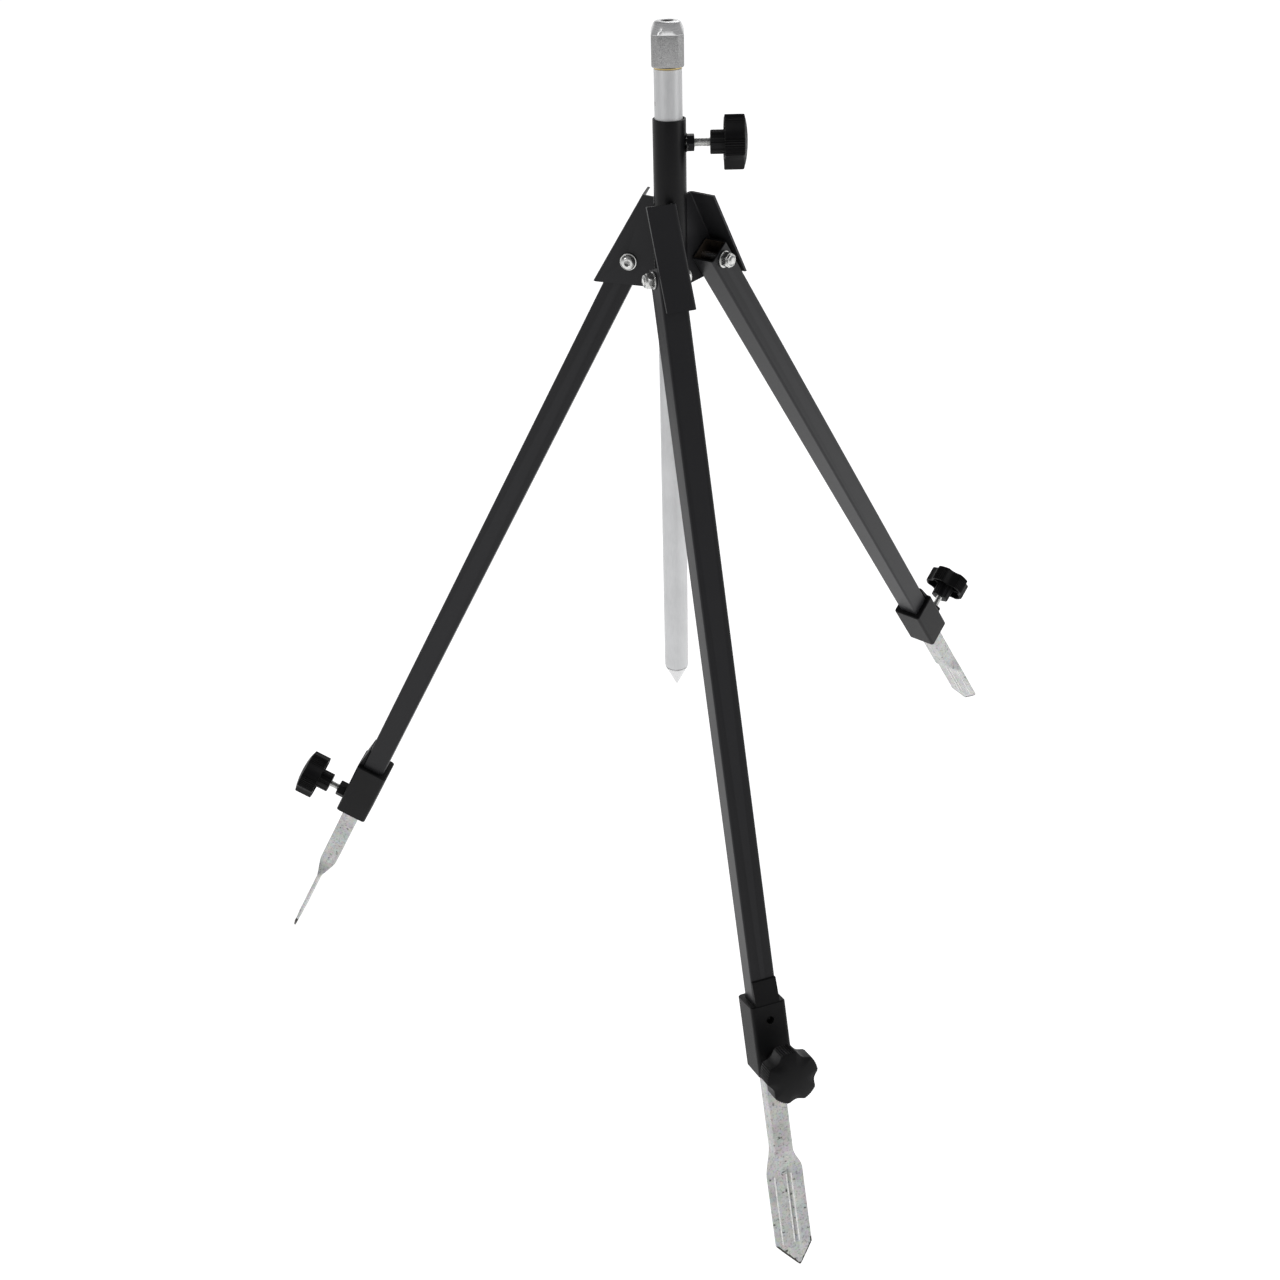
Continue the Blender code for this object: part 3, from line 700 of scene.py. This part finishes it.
def build_clamp(name, leg):
    body = "leg_" + name
    top, bottom = 9.7, -60.0
    liner = []
    for half, radius, ends in ((11.15, 0.9, (top, bottom)), (10.95, 0.7, (bottom, top))):
        liner += [rounded_loop(-half, half, -half, half, radius, z) for z in ends]
    place("tube_lining_" + name, loft(liner, ring=True), leg, body, "steel")

    profile = [(0, -2.2), (1.95, -2.2), (1.95, 0), (3.5, 0), (3.6, 0.3)]
    steps = 8
    for i in range(1, steps):
        a = math.pi / 2 * i / steps
        profile.append((3.6 * math.cos(a), 0.4 + 1.8 * math.sin(a)))
    profile.append((0, 2.2))
    spot = leg @ at(13.0, 0, RIVET_Z) @ TURN_Y
    place("rivet_" + name, lathe(profile, 48), spot, body, "black", ["collar_rivet_" + name], angle=40)

    spot = leg @ at(18.8, 0, LEG_CLAMP_Z) @ TURN_Y
    place("boss_" + name, hex_nut(16.5, 9.7, 4.25, 1.3), spot, body, "plastic", ["collar_nut_" + name])

    hub = leg @ at(LEG_KNOB_X + BACKED_OFF[name], 0, LEG_CLAMP_Z) @ TURN_Y
    build_screw("screw_" + name, "leg_screw_" + name, "screw_" + name, hub, 19.4)
    spin = Matrix.Rotation(math.radians(SPIN[name]), 4, "Z")
    build_knob("star_" + name, "leg_knob_" + name, "knob_" + name, hub @ spin, LEG_KNOB_SIZE)


def foot_look(spot):
    """0 is plain zinc, 1 the dark cut edge of the point and 2 a painted highlight along the top of a pressed
    line.
    """
    drop = BLADE_END_Z - spot.z
    left = spot.y + BLADE_SIDE - 0.82 * drop
    right = BLADE_SIDE - 0.66 * max(0.0, drop - 6.0) - spot.y
    crest = min(abs(spot.y - middle) for middle, _, _ in RIDGES[:3])
    if drop > 0 and min(left, right) < 2.3:
        return 1
    # painted highlight: the tops of the three proud lines take the bright zinc look
    if drop < -0.4 and spot.z < SHOULDER_Z - SHOULDER - 4.0 and crest < 0.62:
        return 2
    return 0


def build_foot(name, leg):
    loops = [foot_skin(0, -330.3, 0.25), foot_skin(0, -330.6)]
    loops += [foot_skin(0, z) for z in (-500, -700, -868)]
    steps = 26
    for i in range(steps + 1):
        loops.append(foot_skin(i / steps, SHOULDER_Z - SHOULDER * i / steps))
    low, high, side = BLADE_BACK, BLADE_FRONT, BLADE_SIDE
    for share in (0.25, 0.5, 0.75):
        loops.append(pressed_loop(low, high, -side, side, 1.7, SHOULDER_Z - SHOULDER - 77.5 * share, 1.0))
    loops.append(pressed_loop(low, high, -side, side, 1.7, BLADE_END_Z, 1.0))
    loops.append(pressed_loop(low, high, 0.4 - side, side, 1.6, BLADE_END_Z - 1.0, 0.95))
    loops.append(pressed_loop(low, high, 4.4 - side, side, 1.6, BLADE_END_Z - 6.0, 0.7))
    left, right, tip_z = -15.0, 19.4, BLADE_END_Z - 6.9
    loops.append(pressed_loop(low + 0.1, high - 0.1, left, right, 1.5, tip_z, 0.6))
    for share in (0.3, 0.6, 0.9):
        thin = 0.1 + 0.6 * share
        loops.append(pressed_loop(low + thin, high - thin, left + 17.4 * share, right - 13.8 * share, 1.2,
                                  tip_z - 20.8 * share, 0.5 - 0.5 * share))
    loops.append(pressed_loop(low + 0.9, high - 0.9, 3.0, 5.0, 0.6, -1008.45))
    loops.reverse()
    inner = [foot_skin(0, z, 1.5) for z in (-330.3, -500, -700, -868)]
    inner += [foot_skin(share, SHOULDER_Z - SHOULDER * share, 1.5) for share in (0.1, 0.2, 0.35)]
    made = place("spade_foot_" + name, loft(loops + inner), leg, "lower_leg_" + name, "galvanised",
                 ["foot_" + name], angle=50)
    paint(made, leg, ["cut", "zinc"], foot_look)


# ---------------------------------------------------------------- assembly


def bevel_cad(names, look, width):
    for name in names:
        node = nodes[name]
        node.data.materials.clear()
        node.data.materials.append(LOOK[look])
        bevel = node.modifiers.new("edges", "BEVEL")
        bevel.width = width * MM
        bevel.segments = 2
        bevel.limit_method = "ANGLE"
        bevel.angle_limit = math.radians(38)
        bevel.harden_normals = True


build_tube()
build_point()
build_coupler()
build_sleeve()
hub = HEAD @ at(HEAD_KNOB_X, 0, CLAMP_Z) @ TURN_Y
build_screw("screw_head", "head_clamp_screw", "head_screw", hub, 23.9)
spin = Matrix.Rotation(math.radians(SPIN["head"]), 4, "Z")
build_knob("star_head", "head_clamp_knob", "head_knob", hub @ spin, 1.0)
for letter in "abc":
    build_bracket(letter)
    build_clamp(letter, LEGS[letter])
    build_foot(letter, LEGS[letter])
bevel_cad(["bracket_" + letter for letter in "abc"], "black", 0.35)
bevel_cad(["leg_tube_" + letter for letter in "abc"], "black", 0.15)
bevel_cad(["collar_" + letter for letter in "abc"], "plastic", 0.35)


# ---------------------------------------------------------------- floor, light and camera


def floor():
    bm = bmesh.new()
    bmesh.ops.create_grid(bm, x_segments=2, y_segments=2, size=30.0)
    mesh = bpy.data.meshes.new("floor")
    bm.to_mesh(mesh)
    bm.free()
    made = bpy.data.objects.new("floor", mesh)
    bpy.context.scene.collection.objects.link(made)
    g = Graph("floor_look")
    mesh.materials.append(g.surface(Base_Color=(0.9, 0.9, 0.9, 1.0), Roughness=0.9, Specular_IOR_Level=0.1,
                                    Emission_Color=(1.0, 1.0, 1.0, 1.0), Emission_Strength=0.86))


def area(name, spot, aim, size, power):
    data = bpy.data.lights.new(name, "AREA")
    data.shape = "DISK"
    data.size = size
    data.energy = power
    lamp = bpy.data.objects.new(name, data)
    bpy.context.scene.collection.objects.link(lamp)
    lamp.location = spot
    lamp.rotation_euler = (Vector(aim) - Vector(spot)).to_track_quat("-Z", "Y").to_euler()


def studio():
    scene = bpy.context.scene
    scene.view_settings.view_transform = "Standard"
    world = bpy.data.worlds.new("studio")
    world.use_nodes = True
    tree = world.node_tree
    height = tree.nodes.new("ShaderNodeSeparateXYZ")
    tree.links.new(tree.nodes.new("ShaderNodeTexCoord").outputs["Generated"], height.inputs[0])
    sky = tree.nodes.new("ShaderNodeValToRGB")
    tree.links.new(height.outputs["Z"], sky.inputs["Fac"])
    sky.color_ramp.elements[0].position = 0.05
    sky.color_ramp.elements[0].color = (1.0, 1.0, 1.0, 1.0)
    sky.color_ramp.elements[1].position = 0.32
    sky.color_ramp.elements[1].color = (0.16, 0.16, 0.165, 1.0)
    tree.links.new(sky.outputs["Color"], tree.nodes["Background"].inputs["Color"])
    tree.nodes["Background"].inputs["Strength"].default_value = 1.0
    scene.world = world
    area("key", (-1.9, -1.5, 2.6), (0, 0, 0.5), 1.0, 13)
    area("fill", (2.4, -0.6, 1.5), (0, 0, 0.5), 1.2, 8)
    area("rim", (0.6, 2.4, 2.2), (0, 0, 0.6), 1.4, 9)


def camera():
    yaw, pitch, roll = (math.radians(v) for v in (-1.612, 31.193, 1.689))
    look = Vector((math.sin(yaw) * math.cos(pitch), math.cos(yaw) * math.cos(pitch), -math.sin(pitch)))
    right = Vector((math.cos(yaw), -math.sin(yaw), 0))
    down = look.cross(right)
    across = right * math.cos(roll) + down * math.sin(roll)
    below = down * math.cos(roll) - right * math.sin(roll)
    data = bpy.data.cameras.new("camera")
    data.sensor_width = 36.0
    data.lens = 36.0 * 1509.3 / 1280
    made = bpy.data.objects.new("camera", data)
    bpy.context.scene.collection.objects.link(made)
    made.matrix_world = HEAD @ axes(Vector((0, -1377.7, 427.1)) * MM, across, -below, -look)
    bpy.context.scene.camera = made


floor()
studio()
camera()
